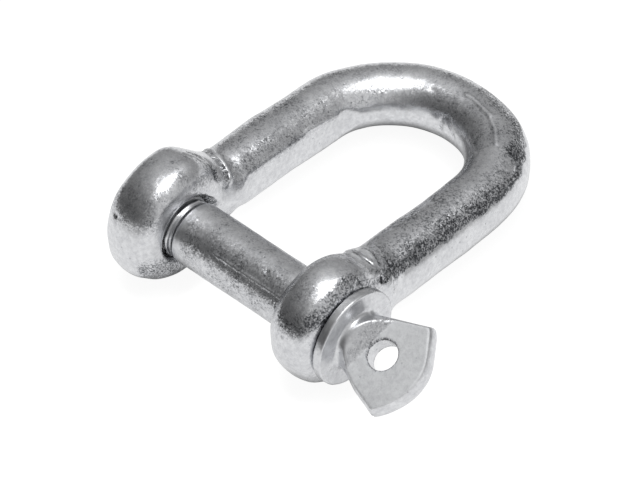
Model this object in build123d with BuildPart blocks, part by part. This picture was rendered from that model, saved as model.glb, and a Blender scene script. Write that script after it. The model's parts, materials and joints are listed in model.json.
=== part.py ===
from build123d import *
import os
from math import asin, cos, degrees, radians, sin

# A forged D shackle lying on its side, the way it rests on a bench. The origin is on the
# pin's axis, midway between the outer faces of the two eyes. Y runs along the pin, from
# its head to its threaded end, and X runs towards the crown of the bow.

# Driving dimensions, millimetres: the bow
bar_diameter = 12.0            # round bar of the two legs and the crown
jaw_width = 28.0               # clear gap between the two eyes
inside_length = 51.5           # pin axis to the inner side of the crown
eye_diameter = 23.8
plain_eye_thickness = 10.1     # the near eye, which the pin passes through
threaded_eye_thickness = 11.1  # the far eye, which the pin screws into
eye_rim_bulge = 1.4            # how far the rim stands out between its two edges
eye_jaw_edge_radius = 3.0      # from the rim into the flat face at the jaw
eye_outer_edge_radius = 2.4    # from the rim into the flat face outside
leg_inset = 6.15               # from an eye's outer face to the centre line of its leg
neck_reach = 15.0              # the round leg begins to narrow this far from the pin axis
neck_root = 6.0                # where the narrowed neck ends, inside the eye
neck_slimming = 1.4            # how much thinner than the bar the leg is at that end
neck_cover = 0.25              # least depth of that end below the eye's flat faces
neck_fillet = 3.0              # forged hollow where a neck runs into its eye
plain_hole_clearance = 0.7     # radial, round the pin in the plain eye
plain_hole_chamfer = 0.5
thread_mouth_flare = 1.65      # radial, countersink on the jaw side of the threaded eye
thread_mouth_depth = 1.3
thread_exit_chamfer = 0.6

# Driving dimensions, millimetres: the pin
pin_diameter = 11.8
pin_shoulder_gap = 1.2         # the plain shank stops this far short of the threaded eye
pin_shoulder_radius = 0.35
relief_ring_step = 0.4         # radial, from the shank down to the ring before the thread
relief_ring_reach = 0.8        # how far the ring runs into the mouth of the threaded eye
thread_step = 0.5              # radial, from the shank down to the thread's plain cylinder
thread_clearance = 0.05        # radial, between that cylinder and the threaded eye
pin_tip_chamfer = 1.0
tip_overrun = 0.4              # how far the tip stands out of the threaded eye
collar_diameter = 18.3
collar_thickness = 1.6
collar_rim_radius = 0.6
collar_gap = 0.3               # between the collar and the plain eye
collar_back_radius = 0.3
neck_diameter = 10.0           # where the head grows out of the collar
neck_hollow_radius = 1.3       # hollow between the collar and the head

# Driving dimensions, millimetres and degrees: the flattened head
head_width = 17.3              # across its two corners
head_corner_reach = 11.35      # collar face to the corners
head_reach = 15.4              # collar face to the outer end
head_thickness = 4.0
head_edge_radius = 0.35
head_corner_radius = 0.4
ramp_height = 6.5              # pin axis to the ramp's plane at the collar's face
ramp_end = 3.9                 # collar face to where the head is at its full flatness
head_roll = 33.0               # how far the head is turned out of the plane of the bow
lashing_hole_diameter = 5.6
lashing_hole_reach = 7.0       # collar face to the centre of the lashing hole
lashing_hole_chamfer = 0.2

# Sizes that follow from them
bar_radius = bar_diameter / 2
eye_radius = eye_diameter / 2
rim_edge_radius = eye_radius - eye_rim_bulge
outer_face = (plain_eye_thickness + jaw_width + threaded_eye_thickness) / 2
plain_eye_jaw_face = outer_face - plain_eye_thickness
threaded_eye_jaw_face = outer_face - threaded_eye_thickness
leg_offset = outer_face - leg_inset
crown_reach = inside_length + bar_radius
leg_end = crown_reach - leg_offset
pin_radius = pin_diameter / 2
relief_ring_radius = pin_radius - relief_ring_step
thread_radius = pin_radius - thread_step
thread_hole_radius = thread_radius + thread_clearance
plain_hole_radius = pin_radius + plain_hole_clearance
pin_tip = outer_face + tip_overrun
pin_shoulder = threaded_eye_jaw_face - pin_shoulder_gap
relief_ring_end = threaded_eye_jaw_face + relief_ring_reach
collar_back = -outer_face - collar_gap
collar_face = collar_back - collar_thickness
rest_tilt = asin((eye_radius - bar_radius) / crown_reach)

# The bow leans down towards its crown, which touches the bench beside the two eyes
bow_plane = Plane(
    origin=(0, 0, 0),
    x_dir=(cos(rest_tilt), 0, -sin(rest_tilt)),
    z_dir=(sin(rest_tilt), 0, cos(rest_tilt)),
)

# The head's width and the normal of its flat faces, turned out of the bow's plane
roll = radians(head_roll)
head_width_direction = bow_plane.x_dir * cos(roll) + bow_plane.z_dir * sin(roll)
head_normal = bow_plane.z_dir * cos(roll) - bow_plane.x_dir * sin(roll)
head_side_plane = Plane(origin=(0, 0, 0), x_dir=(0, 1, 0), z_dir=head_width_direction)
lashing_centre = (0, collar_face - lashing_hole_reach, 0)
lashing_plane = Plane(origin=lashing_centre, x_dir=(0, 1, 0), z_dir=head_normal)


def leg_section(reach, offset):
    """A plane across a leg, this far from the pin axis and to one side."""
    centre = bow_plane.from_local_coords((reach, offset, 0))
    return Plane(origin=centre, x_dir=bow_plane.y_dir, z_dir=bow_plane.x_dir)


def is_neck_edge(edge):
    """Whether an edge lies where a neck runs into its eye."""
    reach = bow_plane.to_local_coords(edge.center()).X
    return edge.geom_type == GeomType.BSPLINE and 0 < reach < neck_reach


# Bow: one forging, a bar bent to a D with an eye on each end
with BuildPart() as bow:
    with BuildLine(bow_plane) as bar_line:
        near_leg = Line((neck_reach, -leg_offset), (leg_end, -leg_offset))
        crown = ThreePointArc(near_leg @ 1, (crown_reach, 0), (leg_end, leg_offset))
        Line(crown @ 1, (neck_reach, leg_offset))
    with BuildSketch(Plane(bar_line.line @ 0, z_dir=bar_line.line % 0)):
        Circle(bar_radius)
    sweep()

    for side, thickness in ((-1, plain_eye_thickness), (1, threaded_eye_thickness)):
        # The leg narrows a little so that it ends within the thickness of its eye
        eye_middle = side * (outer_face - thickness / 2)
        with BuildSketch(leg_section(neck_root, eye_middle)):
            Circle(min(bar_radius - neck_slimming / 2, thickness / 2 - neck_cover))
        with BuildSketch(leg_section(neck_reach, side * leg_offset)):
            Circle(bar_radius)
        loft()

        # The barrel-shaped eye, turned about the pin's axis
        with BuildSketch(Plane.YZ) as eye_profile:
            with BuildLine():
                jaw_edge = (side * (outer_face - thickness), rim_edge_radius)
                outer_edge = (side * outer_face, rim_edge_radius)
                ThreePointArc(jaw_edge, (eye_middle, eye_radius), outer_edge)
                Polyline(outer_edge, (outer_edge[0], 0), (jaw_edge[0], 0), jaw_edge)
            make_face()
            jaw_corner = eye_profile.vertices().sort_by_distance(jaw_edge)[0]
            fillet(jaw_corner, radius=eye_jaw_edge_radius)
            outer_corner = eye_profile.vertices().sort_by_distance(outer_edge)[0]
            fillet(outer_corner, radius=eye_outer_edge_radius)
        revolve(axis=Axis.Y)
    fillet(bow.edges().filter_by(is_neck_edge), radius=neck_fillet)

    # Plain hole through the near eye, and the threaded hole through the far one
    with BuildSketch(Plane.YZ):
        with BuildLine():
            mouth = plain_hole_radius + plain_hole_chamfer
            Polyline(
                (-outer_face, 0),
                (-outer_face, mouth),
                (plain_hole_chamfer - outer_face, plain_hole_radius),
                (-plain_eye_jaw_face - plain_hole_chamfer, plain_hole_radius),
                (-plain_eye_jaw_face, mouth),
                (-plain_eye_jaw_face, 0),
                close=True,
            )
        make_face()
        with BuildLine():
            Polyline(
                (threaded_eye_jaw_face, 0),
                (threaded_eye_jaw_face, thread_hole_radius + thread_mouth_flare),
                (threaded_eye_jaw_face + thread_mouth_depth, thread_hole_radius),
                (outer_face - thread_exit_chamfer, thread_hole_radius),
                (outer_face, thread_hole_radius + thread_exit_chamfer),
                (outer_face, 0),
                close=True,
            )
        make_face()
    revolve(axis=Axis.Y, mode=Mode.SUBTRACT)

bow.part.label = "bow"

# Pin: one forging, turned at its end for the thread and flattened at its head
with BuildPart() as screw_pin:
    with BuildSketch(Plane.YZ) as pin_profile:
        with BuildLine():
            collar_root = (collar_face, neck_diameter / 2)
            head_corner = (collar_face - head_corner_reach, head_width / 2)
            head_end = (collar_face - head_reach, 0)
            Polyline(
                head_end,
                (pin_tip, 0),
                (pin_tip, thread_radius - pin_tip_chamfer),
                (pin_tip - pin_tip_chamfer, thread_radius),
                (relief_ring_end, thread_radius),
                (relief_ring_end, relief_ring_radius),
                (pin_shoulder, relief_ring_radius),
                (pin_shoulder, pin_radius),
                (collar_back, pin_radius),
                (collar_back, collar_diameter / 2),
                (collar_face, collar_diameter / 2),
                collar_root,
                head_corner,
            )
            TangentArc(head_end, head_corner, tangent=(0, 1))
        make_face()
        rounded_corners = (
            (collar_root, neck_hollow_radius),
            (head_corner, head_corner_radius),
            ((collar_face, collar_diameter / 2), collar_rim_radius),
            ((collar_back, collar_diameter / 2), collar_back_radius),
            ((pin_shoulder, pin_radius), pin_shoulder_radius),
        )
        for place, radius in rounded_corners:
            fillet(pin_profile.vertices().sort_by_distance(place)[0], radius=radius)
    revolve(axis=Axis.Y)

    # Two blows of the forge flatten the head from opposite sides, down a short ramp
    with BuildSketch(head_side_plane):
        with BuildLine():
            Polyline(
                (collar_face, ramp_height),
                (collar_face - ramp_end, head_thickness / 2),
                (collar_face - head_reach - head_width, head_thickness / 2),
                (collar_face - head_reach - head_width, head_width),
                (collar_face, head_width),
                close=True,
            )
        make_face()
        mirror(about=Plane.XZ)
    extrude(amount=head_width, both=True, mode=Mode.SUBTRACT)
    flat_faces = screw_pin.faces().filter_by(Axis((0, 0, 0), head_normal))
    outline_edges = flat_faces.edges().filter_by(GeomType.LINE, reverse=True)
    fillet(outline_edges, radius=head_edge_radius)

    # Lashing hole for seizing the pin with wire
    with BuildSketch(lashing_plane):
        Circle(lashing_hole_diameter / 2)
    extrude(amount=head_thickness, both=True, mode=Mode.SUBTRACT)
    hole_rims = screw_pin.edges(Select.LAST).filter_by(GeomType.CIRCLE)
    chamfer(hole_rims, length=lashing_hole_chamfer)

screw_pin.part.label = "screw_pin"

os.makedirs("parts", exist_ok=True)
for piece in (bow, screw_pin):
    export_step(piece.part, f"parts/{piece.part.label}.step")
    print(piece.part.label, round(piece.part.volume), "mm3")
print("rest tilt", round(degrees(rest_tilt), 3), "degrees")
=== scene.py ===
# %% [markdown]
# A hot-dip galvanised screw pin shackle, lying on a table.
# The real one is two pieces of steel. A bar is forged to a D with an eye on each end, and
# a pin with a flattened head passes through one eye and screws into the other. Both are
# dipped in molten zinc, which follows every hammer mark and rounds every edge.
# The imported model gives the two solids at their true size. This script gives each of them
# its forged skin and its zinc, and leaves the sizes as they are.

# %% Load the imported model
import json
import math
import bpy
import numpy as np
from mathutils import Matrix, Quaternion, Vector


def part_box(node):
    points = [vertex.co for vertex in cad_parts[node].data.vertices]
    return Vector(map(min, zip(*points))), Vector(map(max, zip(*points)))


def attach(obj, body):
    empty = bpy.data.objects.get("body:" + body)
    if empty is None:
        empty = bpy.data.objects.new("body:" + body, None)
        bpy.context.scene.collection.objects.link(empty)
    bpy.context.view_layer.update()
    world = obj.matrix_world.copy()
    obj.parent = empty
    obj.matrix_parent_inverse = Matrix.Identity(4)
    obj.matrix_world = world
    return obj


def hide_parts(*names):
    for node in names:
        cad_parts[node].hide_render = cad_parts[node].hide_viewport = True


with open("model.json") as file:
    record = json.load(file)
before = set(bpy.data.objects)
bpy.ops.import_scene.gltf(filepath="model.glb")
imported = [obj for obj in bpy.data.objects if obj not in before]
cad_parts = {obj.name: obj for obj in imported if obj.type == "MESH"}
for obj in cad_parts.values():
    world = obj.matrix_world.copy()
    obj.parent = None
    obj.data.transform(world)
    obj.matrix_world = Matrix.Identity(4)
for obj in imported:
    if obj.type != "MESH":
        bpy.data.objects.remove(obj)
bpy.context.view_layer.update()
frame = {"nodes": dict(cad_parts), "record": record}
MM = 0.001

# %% [markdown]
# The sizes that the frame already knows are read from it, so that they can't drift apart:
# the eyes' radius from the lowest point, their outer faces from the widest, the lie of the
# bow from the seat in its crown, and the head's flat faces from the hole drilled in them.
# The others are the forging's own sizes, in millimetres.

# %% Sizes of the bow and of the pin
mounts = {mount["name"]: mount for mount in frame["record"]["mounts"]}
bow_low, bow_high = (np.array(corner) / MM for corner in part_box("bow"))
pin_low, pin_high = (np.array(corner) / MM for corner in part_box("screw_pin"))
floor_height = bow_low[2]
eye_radius = -bow_low[2]
outer_face = bow_high[1]
crown_seat = np.array(mounts["crown_seat"]["pos_m"]) / MM
inside_length = np.linalg.norm(crown_seat)
pin_way = np.array((0.0, 1.0, 0.0))
bow_forward = crown_seat / inside_length
bow_normal = np.cross(bow_forward, pin_way)
head_normal = np.array(mounts["lashing_hole"]["axis"])
head_across = np.cross(pin_way, head_normal)
lashing_centre = np.array(mounts["lashing_hole"]["pos_m"]) / MM
lashing_radius = mounts["lashing_hole"]["dims"]["r_mm"]
shank_radius = mounts["pin"]["dims"]["r_mm"]
bar_radius = 6.0
plain_eye_thickness = 10.1
threaded_eye_thickness = 11.1
leg_inset = 6.15
leg_offset = outer_face - leg_inset
leg_end = inside_length + bar_radius - leg_offset
threaded_jaw_face = outer_face - threaded_eye_thickness
print("bow", bow_low.round(2), bow_high.round(2), "eye radius", round(eye_radius, 2))

# %% [markdown]
# Nothing on a forging meets at a sharp edge. A distance field says for any point how far it
# is from the steel, and two fields run together softly where the smaller of them is taken
# with a rounded turn. That gives the hollows where a leg grows out of its eye, which
# bevels and booleans on a mesh would only tear.

# %% Soft joins of distance fields
def join(first, second, hollow):
    """The union of two shapes, with a hollow of about this radius between them."""
    share = np.clip(0.5 + 0.5 * (second - first) / hollow, 0.0, 1.0)
    return second + (first - second) * share - hollow * share * (1.0 - share)


def trim(shape, cutter, edge):
    """What of a shape lies inside a second one, with an edge of about this radius."""
    return -join(-shape, -cutter, edge)


def ramp(value, start, end):
    """Rises smoothly from 0 at start to 1 at end."""
    share = np.clip((value - start) / (end - start), 0.0, 1.0)
    return share * share * (3.0 - 2.0 * share)


def humps(value, places):
    """The sum of gentle humps, each given by its middle, its half width and its height."""
    return sum(height * np.exp(-((value - middle) / width) ** 2) for middle, width, height in places)


# %% [markdown]
# Hammer and die leave the steel uneven at every scale, from slow swells down to a skin like
# orange peel. A sum of a few dozen plane waves in random directions makes such a relief at
# one chosen wavelength, the same on each run because its random numbers are seeded.

# %% Uneven relief
def uneven(points, wavelength, seed, waves=28):
    """Random smooth relief between about -1 and 1, with bumps this far apart."""
    random = np.random.default_rng(seed)
    directions = random.normal(size=(waves, 3))
    directions /= np.linalg.norm(directions, axis=1)[:, None]
    lengths = wavelength * random.uniform(0.7, 1.5, waves)
    phases = random.uniform(0.0, 2.0 * math.pi, waves)
    relief = np.zeros(len(points))
    for direction, length, phase in zip(directions, lengths, phases):
        relief += np.sin(points @ direction * (2.0 * math.pi / length) + phase)
    return relief / math.sqrt(waves)


# %% [markdown]
# The screw thread is one groove wound round the pin. Its depth at a point depends only on
# how far the point is along the pin, less the share of a turn that it has gone round. The
# hole takes the same groove a hair larger, so that the two fit at rest. Crest and root are
# cut off flat, as on any rolled or cut thread.

# %% Screw thread
thread_pitch = 1.75
thread_crest = 5.85
thread_depth = 0.95
thread_play = 0.08
thread_flats = 0.125


def thread_surface(along, round_pin):
    """Radius of the thread at a place along the pin and an angle round it."""
    turn = along / thread_pitch - round_pin / (2.0 * math.pi)
    wave = np.abs(2.0 * (turn - np.floor(turn)) - 1.0)
    flank = np.clip((1.0 + 2.0 * thread_flats) * wave - thread_flats, 0.0, 1.0)
    return thread_crest - thread_depth * flank


# %% [markdown]
# The bow is a round bar along a D, with a barrel-shaped eye on each end. Each leg narrows
# and shifts a little on its way into its eye. The eyes' rims stand out in the middle, and
# their edges are rounder towards the jaw, where the dies let the steel flow.
# A forging made by hand is never true. The bar wanders and thins by tenths of a millimetre
# and the eyes are left a little out of round. Each such fault is a gentle hump with a place
# in millimetres or degrees, a width and a height, so the sizes hold everywhere else.

# %% The bar of the bow
neck_reach = 15.0
neck_root = 6.0
near_root_radius = 4.8
far_root_radius = 5.3
bar_start = 4.0
near_leg_drift = ((19.0, 6.0, 0.2), (37.0, 8.0, -0.27))
far_leg_drift = ((25.0, 9.0, 0.15),)
near_leg_waist = ((37.0, 12.0, -0.12),)
far_leg_waist = ((24.0, 9.0, -0.05),)
crown_drift = ((122.0, 26.0, 0.38), (42.0, 28.0, -0.12), (180.0, 16.0, -0.27))
crown_waist = ((36.0, 26.0, -0.26), (110.0, 30.0, -0.14), (180.0, 16.0, -0.12))
flat_depth = 5.2     # from the far leg's centre line to the flat hammered on its inner side
flat_run_out = 0.9   # how far the flat's two ends run out of the steel
flat_facing = (-0.998, 0.07)
flat_edge = 0.3


def bar_section(ahead, aside):
    """How far outside the bar's centre line a place is, and the bar's radius there."""
    near = aside < 0.0
    thickness = np.where(near, plain_eye_thickness, threaded_eye_thickness)
    root_radius = np.where(near, near_root_radius, far_root_radius)
    into_eye = np.clip((neck_reach - ahead) / (neck_reach - neck_root), 0.0, 1.3)
    centre = leg_offset + (outer_face - thickness / 2.0 - leg_offset) * into_eye
    drift = np.where(near, humps(ahead, near_leg_drift), humps(ahead, far_leg_drift))
    waist = np.where(near, humps(ahead, near_leg_waist), humps(ahead, far_leg_waist))
    leg_radius = bar_radius + (root_radius - bar_radius) * into_eye + waist
    bend = np.degrees(np.arctan2(ahead - leg_end, aside))
    crown_outwards = np.hypot(ahead - leg_end, aside) - leg_offset - humps(bend, crown_drift)
    crown_radius = bar_radius + humps(bend, crown_waist)
    in_leg = ahead < leg_end
    outwards = np.where(in_leg, np.abs(aside) - centre - drift, crown_outwards)
    return outwards, np.where(in_leg, leg_radius, crown_radius)


def bar_field(ahead, aside, above):
    """Distance to the bent bar, in the bow's own directions."""
    outwards, radius = bar_section(ahead, aside)
    bar = np.hypot(outwards, above) - radius
    flat_ends = ramp(ahead, 40.0, 45.0) + 1.0 - ramp(ahead, 12.0, 16.0)
    beyond_flat = flat_facing[0] * outwards + flat_facing[1] * above - flat_depth
    flattened = trim(bar, beyond_flat - flat_run_out * flat_ends, flat_edge)
    return np.maximum(np.where(aside < 0.0, bar, flattened), bar_start - ahead)


# %% [markdown]
# Each eye is a barrel turned about the pin's axis, and its hole is cut last. The plain hole
# is a little wider than the pin. The threaded one has a countersink on the jaw's side, where
# the pin's point finds its way in, and a small chamfer where the tip comes out. Steel that
# had nowhere to go has filled the shoulder above the near neck.

# %% The eyes and the whole bow
rim_bulge = 1.4
jaw_edge = 3.4
outer_edge = 2.7
near_rim = ((203.0, 32.0, -0.75), (172.0, 12.0, -0.3), (240.0, 10.0, -0.3))
far_rim = ((163.0, 30.0, -0.42), (206.0, 10.0, 0.45), (68.0, 16.0, 0.5))
plain_hole_radius = shank_radius + 0.7
plain_hole_chamfer = 0.5
countersink_radius = 6.75
countersink_narrowing = 1.3
countersink_depth = 2.0
exit_radius = 5.45
exit_chamfer = 0.6
hole_edge = 0.3
neck_hollow = 3.6
eye_hollow = 0.3
near_shoulder = ((10.8, 5.5, 4.2),)
far_shoulder = ((10.8, 5.5, 0.5),)


def about_pin(points):
    """Place along the pin's axis, distance from it, and angle round it."""
    return points[:, 1], np.hypot(points[:, 0], points[:, 2]), np.arctan2(points[:, 2], points[:, 0])


def eye_field(along, from_axis, round_pin, side, thickness, rim_faults):
    """Distance to one barrel-shaped eye, left out of round by the hammer."""
    from_middle = side * along - outer_face + thickness / 2.0
    rim = eye_radius - rim_bulge * (2.0 * from_middle / thickness) ** 2
    rim = rim + humps(np.degrees(round_pin) % 360.0, rim_faults)
    shape = trim(from_axis - rim, -from_middle - thickness / 2.0, jaw_edge)
    return trim(shape, from_middle - thickness / 2.0, outer_edge)


def hole_radius(along, round_pin):
    """Radius of the plain hole in the near eye and of the threaded one in the far eye."""
    half_thickness = plain_eye_thickness / 2.0
    from_mouth = np.abs(np.abs(along + outer_face - half_thickness) - half_thickness)
    plain_hole = plain_hole_radius + np.maximum(plain_hole_chamfer - from_mouth, 0.0)
    depth = along - threaded_jaw_face
    narrowing = countersink_narrowing * np.clip(depth / countersink_depth, 0.0, 1.0)
    countersink = np.where(depth < countersink_depth, countersink_radius - narrowing, 0.0)
    exit_flare = exit_radius + np.maximum(exit_chamfer - (outer_face - along), 0.0)
    thread_hole = np.maximum(thread_surface(along, round_pin) + thread_play, countersink)
    thread_hole = np.maximum(thread_hole, exit_flare * (along > outer_face - exit_chamfer))
    return np.where(along < 0.0, plain_hole, thread_hole)


def bow_field(points):
    """Distance from each point to the surface of the bow."""
    ahead = points @ bow_forward
    above = points @ bow_normal
    along, from_axis, round_pin = about_pin(points)
    near_eye = eye_field(along, from_axis, round_pin, -1, plain_eye_thickness, near_rim)
    far_eye = eye_field(along, from_axis, round_pin, 1, threaded_eye_thickness, far_rim)
    filled = np.where(along < 0.0, humps(ahead, near_shoulder), humps(ahead, far_shoulder))
    hollow = neck_hollow + filled * ramp(above, 1.0, 5.0)
    hollow = eye_hollow + hollow * ramp(from_axis, 8.5, 12.0)
    shape = join(np.minimum(near_eye, far_eye), bar_field(ahead, along, above), hollow)
    return trim(shape, hole_radius(along, round_pin) - from_axis, hole_edge)


# %% [markdown]
# The pin is turned from its collar to its tip: a plain shank, a shoulder, a short bright
# ring and then the thread. The zinc bridges most of the gap between the collar and its eye,
# so the collar is drawn a little thicker on that side.

# %% Shaft and collar of the pin
collar_gap = 0.3
collar_thickness = 1.6
collar_back = -outer_face - collar_gap
collar_face = collar_back - collar_thickness
collar_bridge = 0.2
collar_radius = 9.15
collar_edge = 0.3
shoulder = threaded_jaw_face - 1.2
shank_edge = 0.45
ring_end = threaded_jaw_face + 0.8
ring_radius = 5.5
ring_groove = ((shoulder + 0.45, 0.16, 0.16),)
tip_chamfer = 1.0
turned_edge = 0.2
turned_hollow = 0.15


def disc_field(along, from_axis, start, end, radius, edge):
    """Distance to a round disc or shaft along the pin."""
    middle = (start + end) / 2.0
    return trim(from_axis - radius, np.abs(along - middle) - (end - start) / 2.0, edge)


def shaft_field(along, from_axis, round_pin):
    """Distance to the shank, the ring and the screw thread."""
    shank = disc_field(along, from_axis, collar_back - 0.8, shoulder, shank_radius, shank_edge)
    grooved_radius = ring_radius - humps(along, ring_groove)
    ring = disc_field(along, from_axis, shoulder - 2.0, ring_end, grooved_radius, turned_edge)
    at_tip = np.maximum(along - (pin_high[1] - tip_chamfer), 0.0)
    ends = np.maximum(along - pin_high[1], ring_end - 1.0 - along)
    screw = trim(from_axis - thread_surface(along, round_pin) + at_tip, ends, turned_edge)
    return join(join(shank, ring, turned_hollow), screw, turned_hollow)


# %% [markdown]
# The pin's head is forged: a round knob pressed flat from two sides down a short ramp, a
# little askew as the dies had it, and drilled for a lashing. Its lower corner came out
# larger than the upper one, and its faces swell a little at their edges.

# %% Head of the pin
head_reach = collar_face - pin_low[1]
head_neck_radius = 5.0
head_corner_reach = 11.35
head_corner_radius = 8.65
head_half_thickness = 2.0
lower_corner_out = 0.75
lower_corner_back = 0.25
lower_flank_out = 0.65
head_end_wear = ((5.5, 2.5, 0.45), (-2.0, 4.0, -0.22))
face_swelling = 0.4
head_edge = 0.2
ramp_height = 6.5
ramp_end = 3.9
ramp_skew = math.tan(math.radians(10.0))
lashing_edge = 0.35
head_hollow = 1.6


def down_the_ramp(points):
    """How far down the head's skewed ramp a point is."""
    return collar_face - points[:, 1] - ramp_skew * (points @ head_across)


def about_lashing(points):
    """Place along the lashing hole's axis, and distance from it."""
    beside = points - lashing_centre
    along_hole = beside @ head_normal
    return along_hole, np.sqrt(np.maximum((beside ** 2).sum(axis=1) - along_hole ** 2, 0.0))


def knob_field(outward, across, over, from_axis):
    """Distance to the round knob that the head is pressed from."""
    lower = ramp(-across / np.maximum(from_axis, 0.1), -0.4, 0.5)
    corner_radius = head_corner_radius + lower_corner_out * lower
    corner_to_end = head_reach - head_corner_reach + lower_corner_back * lower
    flare = (head_corner_radius - head_neck_radius) / head_corner_reach
    swollen = lower_flank_out * lower * ramp(outward, 2.0, 6.5)
    flank = (from_axis - head_neck_radius - flare * outward - swollen) / math.hypot(1.0, flare)
    end_radius = (corner_radius ** 2 + corner_to_end ** 2) / (2.0 * corner_to_end)
    end = np.hypot(from_axis, outward - head_reach + end_radius) - end_radius
    end = end + humps(across, head_end_wear)
    swelling = face_swelling * (np.minimum(over / head_half_thickness, 1.0) ** 2 - 0.45)
    return trim(trim(flank, end, head_edge) + swelling, -outward - 0.5, head_edge)


def pin_field(points):
    """Distance from each point to the surface of the pin."""
    along, from_axis, round_pin = about_pin(points)
    collar_front = collar_back + collar_bridge
    collar = disc_field(along, from_axis, collar_face, collar_front, collar_radius, collar_edge)
    outward = collar_face - along
    over = np.abs(points @ head_normal)
    knob = knob_field(outward, points @ head_across, over, from_axis)
    slope = (ramp_height - head_half_thickness) / ramp_end
    flat = np.maximum(head_half_thickness, ramp_height - slope * down_the_ramp(points))
    pressed_edge = 0.22 + 0.4 * (1.0 - ramp(outward, 0.5, 3.5))
    head = trim(knob, (over - flat) * 0.8, pressed_edge)
    head = trim(head, lashing_radius - about_lashing(points)[1], lashing_edge)
    shaft = shaft_field(along, from_axis, round_pin)
    return join(join(shaft, collar, 0.2), head, head_hollow)


# %% [markdown]
# The solid's own mesh is long thin triangles, which can't carry a relief. Blender's voxel
# remesh turns it into even small quads first. Then each vertex slides along the slope of
# the distance field until it lies on the surface, and the mesh is evened out in between.

# %% Even mesh from a solid
def even_mesh(node_name, mesh_name, voxel):
    """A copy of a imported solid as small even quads, voxel millimetres apart."""
    piece = bpy.data.objects.new(mesh_name, frame["nodes"][node_name].data.copy())
    bpy.context.scene.collection.objects.link(piece)
    weld = piece.modifiers.new("weld", "WELD")
    weld.merge_threshold = 0.001 * MM
    remesh = piece.modifiers.new("even quads", "REMESH")
    remesh.mode = "VOXEL"
    remesh.voxel_size = voxel * MM
    evaluated = piece.evaluated_get(bpy.context.evaluated_depsgraph_get())
    mesh = bpy.data.meshes.new_from_object(evaluated)
    piece.modifiers.clear()
    piece.data = mesh
    return piece


def read_points(mesh):
    """The mesh's vertices in millimetres."""
    places = np.empty(len(mesh.vertices) * 3)
    mesh.vertices.foreach_get("co", places)
    return places.reshape(-1, 3) / MM


def read_edges(mesh):
    """The two ends of each edge of the mesh."""
    ends = np.empty(len(mesh.edges) * 2, dtype=np.int64)
    mesh.edges.foreach_get("vertices", ends)
    return ends.reshape(-1, 2)


# %% Sliding the mesh onto a surface
def slope_of(field, points, step=0.02):
    """The direction in which a field grows fastest, and how fast."""
    slope = np.empty_like(points)
    for axis in range(3):
        shift = np.zeros(3)
        shift[axis] = step
        slope[:, axis] = (field(points + shift) - field(points - shift)) / (2.0 * step)
    return slope


def settle(field, points, passes=3, reach=0.4):
    """Moves points onto the surface where the field is nothing."""
    for _ in range(passes):
        slope = slope_of(field, points)
        steepness = np.maximum((slope ** 2).sum(axis=1), 0.25)
        move = (field(points) / steepness)[:, None] * slope
        length = np.linalg.norm(move, axis=1)
        move *= np.minimum(1.0, reach / np.maximum(length, 1e-9))[:, None]
        points = points - move
    return points


def relax(points, edges, amount=0.5):
    """Moves each point towards the middle of its neighbours."""
    sums = np.zeros_like(points)
    count = np.bincount(edges.ravel(), minlength=len(points))
    for axis in range(3):
        sums[:, axis] += np.bincount(edges[:, 0], points[edges[:, 1], axis], len(points))
        sums[:, axis] += np.bincount(edges[:, 1], points[edges[:, 0], axis], len(points))
    return points + amount * (sums / count[:, None] - points)


def forge(piece, plain, skinned):
    """Brings a piece's mesh onto its plain shape, evenly, and then onto its forged skin."""
    mesh = piece.data
    points = read_points(mesh)
    edges = read_edges(mesh)
    for _ in range(4):
        points = settle(plain, relax(points, edges), passes=1)
    points = settle(skinned, points)
    mesh.vertices.foreach_set("co", (points * MM).ravel())
    mesh.shade_smooth()
    mesh.update()
    print(piece.name, len(mesh.polygons), "faces")
    return piece


def coat(piece, **coats):
    """Stores how coarse and how matt the zinc is at each vertex, with its painted shade and highlight,
    for the material to read.
    """
    points = read_points(piece.data)
    for name, amount in coats.items():
        layer = piece.data.attributes.new(name, "FLOAT", "POINT")
        layer.data.foreach_set("value", np.clip(amount(points), 0.0, 1.0).astype(np.float32))


# %% [markdown]
# Some marks of the forging have a place of their own. They could be painted on or sculpted,
# but a formula keeps them true whatever the mesh: each is a line or a spot that is raised
# from the skin or sunk into it. Its points are placed as a smith would name them, ahead of
# the pin and in degrees round the bar, from 0 outside over 90 on top to 180 inside. How far
# out the skin lies there is found by coming in from outside until the steel is met.

# %% Lines and places on the skin
def seam(points, path, width, height):
    """A raised line along a path, or a groove where its height is negative."""
    low = path.min(axis=0) - 3.0 * width
    high = path.max(axis=0) + 3.0 * width
    close = np.flatnonzero(((points > low) & (points < high)).all(axis=1))
    beside = points[close]
    distance = np.linalg.norm(beside - path[0], axis=1)
    for start, end in zip(path[:-1], path[1:]):
        line = end - start
        share = np.clip((beside - start) @ line / (line @ line), 0.0, 1.0)
        nearest = start + share[:, None] * line
        distance = np.minimum(distance, np.linalg.norm(beside - nearest, axis=1))
    relief = np.zeros(len(points))
    relief[close] = height * np.exp(-(distance / width) ** 2)
    return relief


def on_skin(middles, outwards, lift):
    """Where lines drawn outwards from inside the bow come out of it, lifted off it or sunk."""
    reach = np.full((len(outwards), 1), 14.0)
    for _ in range(40):
        reach -= bow_field(middles + reach * outwards)[:, None]
    return middles + (reach + lift) * outwards


def on_leg(side, places, lift):
    """Points on a leg or its eye, each ahead of the pin and at degrees round the bar."""
    ahead, degrees = np.array(places, dtype=float).T[:, :, None]
    turn = np.radians(degrees)
    outwards = side * np.cos(turn) * pin_way + np.sin(turn) * bow_normal
    return on_skin(ahead * bow_forward + side * leg_offset * pin_way, outwards, lift)


def on_crown(places, lift):
    """Points on the crown, each at degrees along its bend and at degrees round the bar."""
    bend, turn = np.radians(np.array(places, dtype=float)).T[:, :, None]
    from_centre = np.sin(bend) * bow_forward + np.cos(bend) * pin_way
    outwards = np.cos(turn) * from_centre + np.sin(turn) * bow_normal
    return on_skin(leg_end * bow_forward + leg_offset * from_centre, outwards, lift)


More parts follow.
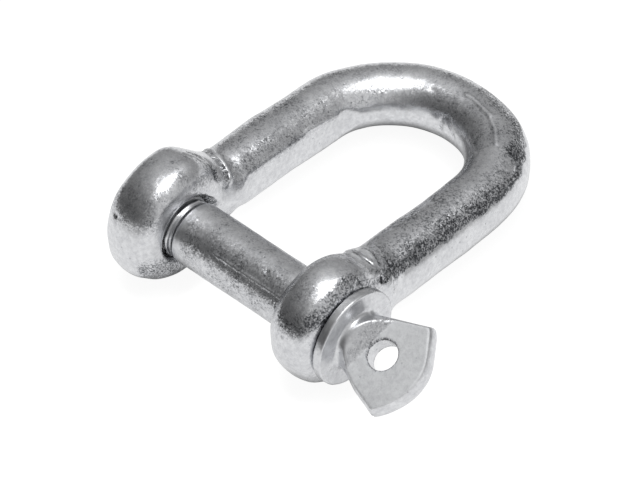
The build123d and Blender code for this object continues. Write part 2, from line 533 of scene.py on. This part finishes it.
def on_eye(along, degrees, lift):
    """A spot on an eye's rim, this far along the pin and at degrees round it."""
    turn = math.radians(degrees)
    outwards = math.cos(turn) * bow_forward + math.sin(turn) * bow_normal
    return on_skin(along * pin_way[None, :], outwards[None, :], lift)


# %% [markdown]
# The far neck carries the ring where the dies closed, with a lip beside it, and creases run
# from it over the eye. Above the near neck are two small flats with raised rims, a groove
# beside each, and a torn fold. The crown has a fine fin where the two dies met, and a few
# hairline cracks inside the bend, where the cold skin was squeezed.

# %% Marks of the forging
near_side = -1
far_side = 1
die_ring = ((12.6, 45), (12.3, 63), (11.5, 81), (11.2, 104), (10.5, 128), (9.6, 138))
ring_lip = [(ahead + 0.95, degrees) for ahead, degrees in die_ring]
neck_flat = ((9.7, 93), (11.2, 96), (11.3, 88), (10.2, 70), (9.3, 70), (8.9, 81), (9.7, 93))
eye_flat = ((6.9, 94), (7.8, 93), (8.0, 77), (6.8, 81), (6.6, 87), (6.9, 94))

# Places along each mark, its lift off the skin, its width and how far it raises the skin
far_neck_marks = (
    (die_ring, -0.2, 0.45, -0.5),
    (ring_lip, 0.07, 0.5, 0.3),
    (((4.7, 87), (5.6, 92), (6.4, 100), (7.1, 107)), -0.15, 0.38, 0.22),
    (((5.9, 84), (7.2, 93), (7.8, 103)), -0.15, 0.38, -0.22),
    (((7.4, 87), (8.8, 92), (8.9, 102), (8.7, 110)), -0.12, 0.38, 0.22),
    (((8.5, 107), (8.2, 119)), -0.1, 0.9, -0.25),
    (((5.1, 139), (6.0, 149), (7.0, 163)), 0.03, 0.5, -0.6),
    (((30.7, 141), (38.5, 151)), 0.15, 0.4, 0.2),
)
near_neck_marks = (
    (neck_flat, 0.2, 0.28, 0.24),
    (((11.9, 100), (12.0, 88), (11.2, 74), (10.4, 64)), 0.05, 0.32, -0.3),
    (eye_flat, 0.17, 0.28, 0.22),
    (((8.6, 95), (8.4, 84), (8.6, 76), (8.8, 66)), 0.16, 0.32, -0.3),
    (((12.4, 56), (10.7, 51), (9.3, 48)), -0.18, 0.65, -1.1),
    (((13.1, 58), (17.2, 56), (19.6, 57)), 0.15, 0.4, 0.25),
    (((12.4, 46), (11.1, 34), (11.3, 11)), -0.05, 0.4, -0.14),
    (((3.0, 60),), -0.2, 0.5, -0.45),
)
crown_marks = (
    (((95, 98), (100, 95), (116, 93), (130, 93), (143, 93)), 0.1, 0.38, 0.22),
    (((118, 91),), 0.1, 0.45, 0.25),
    (((91, 156), (90, 170), (90, 185)), 0.0, 0.38, -0.25),
    (((95, 152), (100, 165), (105, 179)), 0.1, 0.38, -0.25),
    (((123, 150), (135, 144), (148, 135)), 0.0, 0.4, 0.22),
    (((73, 120), (77, 121)), 0.0, 0.38, -0.07),
    (((153, 44), (158, 44)), 0.0, 0.5, -0.25),
    (((24, 139),), 0.0, 0.5, -0.1),
)

bow_marks = [(on_eye(-19.6, 163, 0.0), 0.45, -0.22), (on_eye(21.3, 155, 0.0), 0.4, -0.3)]
for places, lift, width, height in far_neck_marks:
    bow_marks.append((on_leg(far_side, places, lift), width, height))
for places, lift, width, height in near_neck_marks:
    bow_marks.append((on_leg(near_side, places, lift), width, height))
for places, lift, width, height in crown_marks:
    bow_marks.append((on_crown(places, lift), width, height))
print(len(bow_marks), "marks on the bow")

# %% [markdown]
# The bow's skin is its shape with three sizes of unevenness and the marks. The zinc on it
# isn't the same all over. Dross, the hard grains that float in the bath, has settled thickly
# along the top of the bar and in the grooves, where it is dark and sparkles. The same coat
# also paints shade: it darkens the grooves, a band along the near leg, the eyes' sides that
# face the dark wall, the foot of the far eye's jaw face and the mouth of its threaded hole.
# The lower side is smooth and pale. Where steel pressed on steel the zinc is matt, and on the
# raised lines its paler colour is a painted highlight. Both are stored at the vertices,
# because they follow the forging's shape and no pattern in space would.

# %% The bow's surface
bow_unevenness = ((16.0, 0.10, 11), (6.0, 0.025, 12), (2.2, 0.006, 13))
flat_middles = [
    on_leg(near_side, ((11.1, 92), (10.2, 77)), 0.0),
    on_leg(near_side, ((7.4, 90), (7.3, 80)), 0.0),
]


def bow_relief(points):
    """How far the marks of the forging raise the bow's surface."""
    return sum(seam(points, path, width, height) for path, width, height in bow_marks)


def bow_skin(points):
    """The bow with its forged unevenness, which ends where the holes were drilled."""
    relief = sum(height * uneven(points, spacing, seed) for spacing, height, seed in bow_unevenness)
    relief = relief * ramp(about_pin(points)[1], 6.8, 9.5)
    return bow_field(points) - relief - bow_relief(points)


def bow_matt_and_glint(points):
    """Where the zinc on the bow is matt: in its holes, on raised lines and on the small flats. On the
    raised lines its paler colour is a painted highlight.
    """
    in_holes = 1.0 - ramp(about_pin(points)[1], 5.4, 5.6)
    # Painted highlight: the raised lines are made paler, as well as rougher.
    lines_matt_and_glint = 0.9 * ramp(bow_relief(points), 0.05, 0.45)
    return in_holes + lines_matt_and_glint + sum(seam(points, path, 0.9, 0.75) for path in flat_middles)


# %% Coarse zinc and painted shade on the bow
def leg_dross(points, patches):
    """Where the zinc is coarse on the bar: on top, most of it along a band on the near leg, whose
    darkness is also painted shade.
    """
    ahead = points @ bow_forward
    aside = np.where(ahead < leg_end, np.abs(points[:, 1]), np.hypot(ahead - leg_end, points[:, 1]))
    section = np.degrees(np.arctan2(points @ bow_normal, aside - leg_offset))
    lower_edge = 30.0 + 2.5 * uneven(points, 3.0, seed=32)
    upper_edge = section + 9.0 * uneven(points, 4.0, seed=34)
    top = ramp(section, lower_edge, lower_edge + 6.0) * (1.0 - ramp(section, 145.0, 165.0))
    # Painted shade: this band darkens the reflection of the dark wall on the near leg's side.
    painted_shade_band = 0.5 * (1.0 - ramp(upper_edge, 42.0, 82.0))
    near_leg = ramp(-points[:, 1], -6.0, 6.0) * (0.12 + painted_shade_band)
    straight = 0.14 * (1.0 - ramp(ahead, 30.0, 42.0))
    return top * (0.24 + 0.18 * patches + straight + near_leg)


def eye_dross(points, patches):
    """Where the zinc is coarse on the eyes, on top and beside the collar, and where shade is painted: on
    the sides facing the dark wall, at the far jaw's foot and about the thread.
    """
    above = points @ bow_normal
    along, from_axis, round_pin = about_pin(points)
    far_eye = along > 0.0
    # Painted shade: the eyes are darkened on the side that faces the dark wall.
    dark_wall_side_shade = ramp(np.degrees(round_pin), 110.0, 140.0)
    top = ramp(above, 2.0, 6.0) * (0.15 + 0.3 * patches + 0.15 * dark_wall_side_shade)
    beside_collar = ramp(-along, outer_face - 2.6, outer_face - 1.4) * ramp(above, 5.0, 7.0)
    # Painted shade: the foot of the far eye's jaw face, under the pin, is darkened.
    at_jaw = 1.0 - ramp(along, threaded_jaw_face + 1.6, threaded_jaw_face + 3.0)
    jaw_foot_painted_shade = ramp(-above, 1.0, 4.0) * at_jaw * far_eye
    # Painted shade: the mouth of the threaded hole round the pin is darkened.
    mouth_painted_shade = ramp(from_axis, 5.5, 5.7) * (1.0 - ramp(from_axis, 6.6, 7.0)) * far_eye
    return top + 0.35 * beside_collar + 0.75 * jaw_foot_painted_shade + mouth_painted_shade


def bow_dross(points):
    """Where the zinc on the bow is coarse, or darkened as painted shade, from 0 to 1."""
    patches = ramp(uneven(points, 5.0, seed=31), -1.0, 1.0)
    on_eyes = eye_dross(points, patches)
    past_neck = ramp(points @ bow_forward, 11.0, 13.0)
    # Painted shade: the grooves of the marks are darkened.
    grooves_painted_shade = ramp(-bow_relief(points), 0.03, 0.25)
    return 0.04 + on_eyes + (leg_dross(points, patches) - on_eyes) * past_neck + grooves_painted_shade


forged_bow = even_mesh("bow", "forged_bow", voxel=0.32)
forge(forged_bow, bow_field, bow_skin)
coat(forged_bow, dross=bow_dross, matt=bow_matt_and_glint)
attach(forged_bow, "bow")
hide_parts("bow")

# %% [markdown]
# The pin is turned, so its skin is smoother than the bow's. It has a scratch along the
# shank, a few pits in its zinc, coarse zinc on the shank and on the head's ramp, and matt
# faces where the head was pressed.

# %% The pin's surface
pin_unevenness = ((9.0, 0.025, 21), (2.4, 0.012, 22))


def on_shank(*places):
    """Points on the pin's shank, each this far along it and at degrees round it."""
    along, degrees = np.array(places, dtype=float).T[:, :, None]
    turn = np.radians(degrees)
    outwards = np.hstack([np.cos(turn), np.zeros_like(turn), np.sin(turn)])
    return along * pin_way + shank_radius * outwards


pin_marks = (
    (on_shank((3.0, 135), (-14.0, 135)), 0.28, 0.11),
    (on_shank((-3.0, 164)), 0.3, -0.3),
    (on_shank((-3.9, 161)), 0.3, -0.3),
    (on_shank((0.35, 141)), 0.3, -0.2),
    (on_shank((-7.2, 176)), 0.3, -0.2),
    (on_shank((-7.8, 111)), 0.35, -0.22),
    (on_shank((10.4, 114), (10.0, 101)), 0.3, 0.1),
)


def pin_skin(points):
    """The pin with the slight unevenness of its zinc, which ends before the bright ring."""
    relief = sum(height * uneven(points, spacing, seed) for spacing, height, seed in pin_unevenness)
    relief = relief * ramp(-points[:, 1], -shoulder + 0.4, -shoulder + 1.5)
    marks = sum(seam(points, path, width, height) for path, width, height in pin_marks)
    return pin_field(points) - relief - marks


def pin_dross(points):
    """Where the zinc on the pin is coarse, from 0 to 1."""
    along = points[:, 1]
    patches = ramp(uneven(points, 4.0, seed=33), -1.0, 1.0)
    shank = ramp(-along, -shoulder + 1.2, -shoulder + 2.5) * ramp(along, collar_back, collar_back + 1.0)
    on_flat = ramp(down_the_ramp(points), ramp_end - 0.3, ramp_end + 0.3)
    head = ramp(collar_face - along, 1.5, 2.5) * (1.0 - 0.85 * on_flat)
    along_hole, from_hole = about_lashing(points)
    hole_rim = humps(from_hole, ((lashing_radius + 0.05, 0.3, 1.0),)) * ramp(np.abs(along_hole), 1.2, 1.8)
    return 0.03 + shank * (0.3 + 0.25 * patches) + 0.45 * head + hole_rim


def pin_matt(points):
    """Where the zinc on the pin is matt: the head's pressed faces, and the screw's thread."""
    down_ramp = down_the_ramp(points)
    pressed = 0.1 * ramp(down_ramp, 0.8, 1.6) + 0.9 * ramp(down_ramp, ramp_end - 0.3, ramp_end + 0.3)
    on_face = ramp(np.abs(points @ head_normal), 1.7, 1.95)
    return pressed * on_face + ramp(points[:, 1], ring_end, ring_end + 0.5)


threaded_pin = even_mesh("screw_pin", "threaded_pin", voxel=0.21)
forge(threaded_pin, pin_field, pin_skin)
coat(threaded_pin, dross=pin_dross, matt=pin_matt)
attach(threaded_pin, "pin")
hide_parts("screw_pin")

# %% [markdown]
# Every material here is built from nodes. One function adds a node, sets it and fills its
# inputs, and one turns the hex colours that people read into the linear ones that Blender
# mixes.

# %% Colours and nodes
def linear(hex_colour):
    """An sRGB hex colour as the linear colour that Blender's sockets take."""
    channels = [int(hex_colour[place:place + 2], 16) / 255.0 for place in (1, 3, 5)]
    bent = [c / 12.92 if c <= 0.04045 else ((c + 0.055) / 1.055) ** 2.4 for c in channels]
    return (*bent, 1.0)


def add_node(tree, kind, inputs, **settings):
    """Adds a node with these settings, its inputs filled with values or other nodes' outputs."""
    node = tree.nodes.new(kind)
    for name, value in settings.items():
        setattr(node, name, value)
    for name, value in inputs.items():
        if isinstance(value, bpy.types.NodeSocket):
            tree.links.new(value, node.inputs[name])
        else:
            node.inputs[name].default_value = value
    return node


def set_stops(gradient, stops):
    """Gives a gradient its stops, each a place and a hex colour."""
    while len(gradient.elements) < len(stops):
        gradient.elements.new(0.5)
    for stop, (place, colour) in zip(gradient.elements, stops):
        stop.position = place
        stop.color = linear(colour)


# %% [markdown]
# Hot-dip galvanised steel is steel under a skin of zinc that froze as the piece was drawn
# out of the bath. New zinc is a bright, faintly bluish grey metal, so the shader is fully
# metallic with a roughness of about a quarter, and keeps its default index of refraction.
# Where dross has settled, the zinc freezes as small crystals, each leaning its own way and
# some darker than others. The same coat darkens the zinc where shade is painted, and the matt
# coat lightens it where a highlight is painted. A Voronoi pattern gives each crystal one
# random colour, which both shades it and tilts its normal: the tilt alone would only make
# white sparks. Slower noise gives the clouds of brighter and duller zinc, and scattered small
# pits.

# %% Sizes in the zinc, in millimetres
crystal_size = 0.24   # coarser than the real 0.1, since a pixel of the render is 0.17
facet_size = 0.9      # soft ripples, as the zinc ran off
cloud_size = 6.0
pit_spacing = 1.7
pit_depth = 0.03
facet_height = 0.02
zinc_tones = ((0.1, "#38393C"), (0.3, "#6E7073"), (0.46, "#C6C7CA"), (0.62, "#E2E3E5"), (0.8, "#F4F5F6"))


# %% Patterns in the zinc
def zinc_patterns(tree):
    """The coats stored at the vertices, and the crystals, facets, clouds and pits of the zinc."""
    place = add_node(tree, "ShaderNodeTexCoord", {}).outputs["Object"]
    crystals = {"Vector": place, "Scale": 1.0 / (crystal_size * MM)}
    facets = {"Vector": place, "Scale": 1.0 / (facet_size * MM), "Detail": 2.0, "Roughness": 0.6}
    clouds = {"Vector": place, "Scale": 1.0 / (cloud_size * MM), "Detail": 2.0, "Roughness": 0.6}
    cells = {"Vector": place, "Scale": 1.0 / (pit_spacing * MM)}
    pit_cells = add_node(tree, "ShaderNodeTexVoronoi", cells).outputs
    fall = {"From Min": 0.05, "From Max": 0.15, "To Min": 1.0, "To Max": 0.0}
    pit = add_node(tree, "ShaderNodeMapRange", {"Value": pit_cells["Distance"], **fall}).outputs[0]
    some = {0: pit_cells["Color"], 1: 0.62}
    pitted = add_node(tree, "ShaderNodeMath", some, operation="GREATER_THAN").outputs[0]
    # This coat holds both the coarse zinc and the painted shade.
    dross = add_node(tree, "ShaderNodeAttribute", {}, attribute_name="dross").outputs["Fac"]
    return {
        "dross": dross,
        "coarse": add_node(tree, "ShaderNodeMath", {0: dross, 1: 0.05}, operation="ADD").outputs[0],
        "matt": add_node(tree, "ShaderNodeAttribute", {}, attribute_name="matt").outputs["Fac"],
        "crystal": add_node(tree, "ShaderNodeTexVoronoi", crystals).outputs["Color"],
        "facets": add_node(tree, "ShaderNodeTexNoise", facets).outputs["Fac"],
        "clouds": add_node(tree, "ShaderNodeTexNoise", clouds).outputs["Fac"],
        "pits": add_node(tree, "ShaderNodeMath", {0: pit, 1: pitted}, operation="MULTIPLY").outputs[0],
    }


# %% Colour, gloss and lean of the zinc
def zinc_colour(tree, zinc):
    """Colour of the zinc: bright and cloudy, dark and grainy where it is coarse or where shade is
    painted, and paler where matt, which on the bow's raised lines is a painted highlight.
    """
    coarser = {0: zinc["coarse"], 1: -0.23, 2: -0.24}
    darker = add_node(tree, "ShaderNodeMath", coarser, operation="MULTIPLY_ADD").outputs[0]
    crystals = {0: zinc["crystal"], 1: 0.5, 2: darker}
    grain = add_node(tree, "ShaderNodeMath", crystals, operation="MULTIPLY_ADD").outputs[0]
    layers = (
        (zinc["facets"], 0.3),
        (grain, zinc["coarse"]),
        # Matt zinc is paler; on the bow's raised lines that is a painted highlight.
        (zinc["matt"], 0.2),
        (zinc["clouds"], 0.2),
        (zinc["pits"], -0.14),
    )
    tone = 0.3
    for layer, share in layers:
        inputs = {0: layer, 1: share, 2: tone}
        tone = add_node(tree, "ShaderNodeMath", inputs, operation="MULTIPLY_ADD").outputs[0]
    colour = add_node(tree, "ShaderNodeValToRGB", {"Fac": tone})
    set_stops(colour.color_ramp, zinc_tones)
    return colour.outputs["Color"]


def zinc_roughness(tree, zinc, smoothest, roughest):
    """Roughness of the zinc: between two limits with the clouds, and more where it is matt."""
    limits = {"From Min": 0.35, "From Max": 0.65, "To Min": smoothest, "To Max": roughest}
    clouds = {"Value": zinc["clouds"], **limits}
    roughness = add_node(tree, "ShaderNodeMapRange", clouds).outputs["Result"]
    for amount, share in ((zinc["matt"], 0.5), (zinc["dross"], 0.08)):
        inputs = {0: amount, 1: share, 2: roughness}
        roughness = add_node(tree, "ShaderNodeMath", inputs, operation="MULTIPLY_ADD").outputs[0]
    return roughness


def zinc_normal(tree, zinc, crystal_tilt):
    """Normal of the zinc: soft facets and pits, and crystals that lean where it is coarse."""
    facets = {0: zinc["facets"], 1: facet_height}
    ripples = add_node(tree, "ShaderNodeMath", facets, operation="MULTIPLY").outputs[0]
    pits = {0: zinc["pits"], 1: -pit_depth, 2: ripples}
    height = add_node(tree, "ShaderNodeMath", pits, operation="MULTIPLY_ADD").outputs[0]
    bump = add_node(tree, "ShaderNodeBump", {"Height": height, "Strength": 1.0, "Distance": MM})
    crystals = {0: zinc["crystal"], 1: (0.5, 0.5, 0.5)}
    random_lean = add_node(tree, "ShaderNodeVectorMath", crystals, operation="SUBTRACT").outputs[0]
    tilt = {0: zinc["coarse"], 1: crystal_tilt}
    amount = add_node(tree, "ShaderNodeMath", tilt, operation="MULTIPLY").outputs[0]
    scaled = {0: random_lean, "Scale": amount}
    lean = add_node(tree, "ShaderNodeVectorMath", scaled, operation="SCALE").outputs[0]
    both = {0: bump.outputs["Normal"], 1: lean}
    leaning = add_node(tree, "ShaderNodeVectorMath", both, operation="ADD").outputs[0]
    return add_node(tree, "ShaderNodeVectorMath", {0: leaning}, operation="NORMALIZE").outputs[0]


# %% Hot-dip galvanised steel
def galvanised_steel(name, smoothest, roughest, crystal_tilt):
    """Zinc skin with this range of roughness and this tilt of its crystals."""
    material = bpy.data.materials.new(name)
    material.use_nodes = True
    tree = material.node_tree
    shader = tree.nodes["Principled BSDF"]
    shader.inputs["Metallic"].default_value = 1.0
    zinc = zinc_patterns(tree)
    tree.links.new(zinc_colour(tree, zinc), shader.inputs["Base Color"])
    tree.links.new(zinc_roughness(tree, zinc, smoothest, roughest), shader.inputs["Roughness"])
    tree.links.new(zinc_normal(tree, zinc, crystal_tilt), shader.inputs["Normal"])
    return material


for piece, steel in (
    (forged_bow, galvanised_steel("hot-dip galvanised forged steel", 0.2, 0.26, 0.25)),
    (threaded_pin, galvanised_steel("hot-dip galvanised turned steel", 0.26, 0.32, 0.4)),
):
    piece.data.materials.clear()
    piece.data.materials.append(steel)
    print(piece.name, "is", steel.name)

# %% [markdown]
# Metal shows little but what stands round it. A galvanised piece looks right on a white
# table, under one soft lamp overhead, in a room that is grey at the sides.
# The table is a white laminate, which is pale and matt. To the camera it is nearly as bright
# as a studio's white sweep, but it keeps the shackle's shadow. The metal sees it glow too,
# with a painted fall-off further out and a painted shadow in the narrow gap under the
# shackle, where it is dark.

# %% White table
table_half = 2.5
table_corners = [(-1, -1), (1, -1), (1, 1), (-1, 1)]
table_places = [(x * table_half, y * table_half, floor_height * MM) for x, y in table_corners]
table_mesh = bpy.data.meshes.new("table_top")
table_mesh.from_pydata(table_places, [], [(0, 1, 2, 3)])
table_top = bpy.data.objects.new("table_top", table_mesh)
bpy.context.scene.collection.objects.link(table_top)


# %% White laminate
camera_share = 0.85
reflected_share = 0.6
# How far the painted shadow in the gap under the shackle reaches.
painted_shadow_reach = 5.0


def laminate_glow_share(tree, rays):
    """How much of the laminate glows of itself: most to the camera, less in a reflection."""
    camera_or_glossy = {0: rays["Is Camera Ray"], 1: rays["Is Glossy Ray"]}
    seen = add_node(tree, "ShaderNodeMath", camera_or_glossy, operation="MAXIMUM").outputs[0]
    or_through = {0: seen, 1: rays["Is Transmission Ray"]}
    seen = add_node(tree, "ShaderNodeMath", or_through, operation="MAXIMUM").outputs[0]
    reflected = {0: seen, 1: reflected_share}
    reflected = add_node(tree, "ShaderNodeMath", reflected, operation="MULTIPLY").outputs[0]
    direct = {0: rays["Is Camera Ray"], 1: camera_share}
    direct = add_node(tree, "ShaderNodeMath", direct, operation="MULTIPLY").outputs[0]
    return add_node(tree, "ShaderNodeMath", {0: reflected, 1: direct}, operation="MAXIMUM").outputs[0]


def laminate_brightness(tree, rays):
    """How brightly it glows: evenly to the camera, and in reflections with a painted fall-off far out and
    a painted shadow in the gap.
    """
    place = add_node(tree, "ShaderNodeTexCoord", {}).outputs["Object"]
    far_out = add_node(tree, "ShaderNodeVectorMath", {0: place}, operation="LENGTH").outputs["Value"]
    fall = {"From Min": 0.08, "From Max": 0.6, "To Min": 1.1, "To Max": 0.33}
    # Painted fall-off: the reflected glow dims further from the middle of the table.
    painted_falloff = add_node(tree, "ShaderNodeMapRange", {"Value": far_out, **fall}).outputs["Result"]
    # Painted shadow: ambient occlusion darkens the reflected glow in the gap under the shackle.
    gap = add_node(tree, "ShaderNodeAmbientOcclusion", {"Distance": painted_shadow_reach * MM}, samples=4)
    open_sky = {0: gap.outputs["AO"], 1: 1.5}
    painted_gap_shadow = add_node(tree, "ShaderNodeMath", open_sky, operation="POWER").outputs[0]
    both = {0: painted_falloff, 1: painted_gap_shadow}
    painted_falloff_and_shadow = add_node(tree, "ShaderNodeMath", both, operation="MULTIPLY").outputs[0]
    or_even = {0: painted_falloff_and_shadow, 1: rays["Is Camera Ray"]}
    lit = add_node(tree, "ShaderNodeMath", or_even, operation="MAXIMUM").outputs[0]
    return add_node(tree, "ShaderNodeMath", {0: lit, 1: 1.08}, operation="MULTIPLY").outputs[0]


white_laminate = bpy.data.materials.new("white laminate")
white_laminate.use_nodes = True
laminate_tree = white_laminate.node_tree
laminate_tree.nodes.remove(laminate_tree.nodes["Principled BSDF"])
light_path = add_node(laminate_tree, "ShaderNodeLightPath", {}).outputs
laminate_skin = add_node(laminate_tree, "ShaderNodeBsdfDiffuse", {"Color": linear("#F2F2F2")})
glow_inputs = {"Color": linear("#FFFFFF"), "Strength": laminate_brightness(laminate_tree, light_path)}
laminate_glow = add_node(laminate_tree, "ShaderNodeEmission", glow_inputs)
laminate_parts = {
    0: laminate_glow_share(laminate_tree, light_path),
    1: laminate_skin.outputs[0],
    2: laminate_glow.outputs[0],
}
laminate_surface = add_node(laminate_tree, "ShaderNodeMixShader", laminate_parts).outputs[0]
laminate_tree.links.new(laminate_surface, laminate_tree.nodes["Material Output"].inputs["Surface"])
table_mesh.materials.append(white_laminate)

# %% [markdown]
# The room is what the metal's sides reflect. Its walls are mid grey and grow paler towards
# the ceiling. One wall is in the dark, which gives the bar its dark flank, and low on the
# opposite side is a bright window, which lights the outside of the near leg.

# %% Grey room
room_tones = ((0.0, "#9B9B9B"), (0.45, "#A6A6A6"), (0.7, "#BFBFBF"), (0.87, "#E2E2E2"), (1.0, "#F4F4F4"))
room = bpy.data.worlds.new("grey studio")
bpy.context.scene.world = room
room.use_nodes = True
room_tree = room.node_tree
direction = add_node(room_tree, "ShaderNodeTexCoord", {}).outputs["Generated"]
upwards = add_node(room_tree, "ShaderNodeSeparateXYZ", {"Vector": direction}).outputs["Z"]
walls = add_node(room_tree, "ShaderNodeValToRGB", {"Fac": upwards})
set_stops(walls.color_ramp, room_tones)


def towards(azimuth, elevation):
    """The unit vector of a direction given in degrees, from X and from the horizon."""
    turn = math.radians(azimuth)
    lift = math.radians(elevation)
    return (math.cos(turn) * math.cos(lift), math.sin(turn) * math.cos(lift), math.sin(lift))


def brightness_towards(way, edge, elsewhere, there):
    """A brightness that goes from one value to another round one direction in the room."""
    cosine = {0: direction, 1: way}
    cosine = add_node(room_tree, "ShaderNodeVectorMath", cosine, operation="DOT_PRODUCT").outputs["Value"]
    inputs = {"Value": cosine, "From Min": edge, "From Max": 1.0, "To Min": elsewhere, "To Max": there}
    return add_node(room_tree, "ShaderNodeMapRange", inputs, interpolation_type="SMOOTHSTEP").outputs[0]


dark_wall = brightness_towards(towards(143.0, 20.0), 0.1, 1.0, 0.33)
window = brightness_towards(towards(-88.0, 14.0), 0.72, 0.0, 0.95)
room_light = add_node(room_tree, "ShaderNodeMath", {0: dark_wall, 1: window}, operation="ADD").outputs[0]
background = room_tree.nodes["Background"]
room_tree.links.new(walls.outputs["Color"], background.inputs["Color"])
room_tree.links.new(room_light, background.inputs["Strength"])
print("room with a dark wall and a window")

# %% [markdown]
# One softbox hangs over the shackle. Its width sets how wide the highlight on the crown is,
# and its power follows from its width, so that it stays as bright when it is made larger.

# %% Overhead softbox
softbox_width = 0.41
softbox_radiance = 2.3
softbox_light = bpy.data.lights.new("overhead softbox", "AREA")
softbox_light.shape = "SQUARE"
softbox_light.size = softbox_width
softbox_light.energy = softbox_radiance * math.pi * softbox_width ** 2
softbox = bpy.data.objects.new("overhead_softbox", softbox_light)
softbox.location = (0.09, -0.09, 0.6)
softbox.rotation_mode = "QUATERNION"
softbox.rotation_quaternion = (-softbox.location).to_track_quat("-Z", "Y")
bpy.context.scene.collection.objects.link(softbox)
print("softbox", softbox_width, "m wide,", round(softbox_light.energy, 3), "W")

# %% [markdown]
# The camera stands where the photograph was taken from, with a long lens, and is rolled a
# few degrees. Its place and its lens were found by laying the solid's outline over the
# photograph's.

# %% Camera
camera_place = Vector((-322.99, -347.88, 509.26)) * MM
camera_target = Vector((11.42, -7.62, 2.42)) * MM
camera_roll = -3.65
camera_data = bpy.data.cameras.new("camera")
camera_data.lens = 223.99
camera_data.sensor_width = 36.0
camera_data.clip_start = 0.05
camera = bpy.data.objects.new("camera", camera_data)
camera.location = camera_place
camera.rotation_mode = "QUATERNION"
look = (camera_target - camera_place).to_track_quat("-Z", "Y")
camera.rotation_quaternion = look @ Quaternion((0.0, 0.0, 1.0), math.radians(camera_roll))
bpy.context.scene.collection.objects.link(camera)
bpy.context.scene.camera = camera
bpy.context.scene.view_settings.view_transform = "Standard"
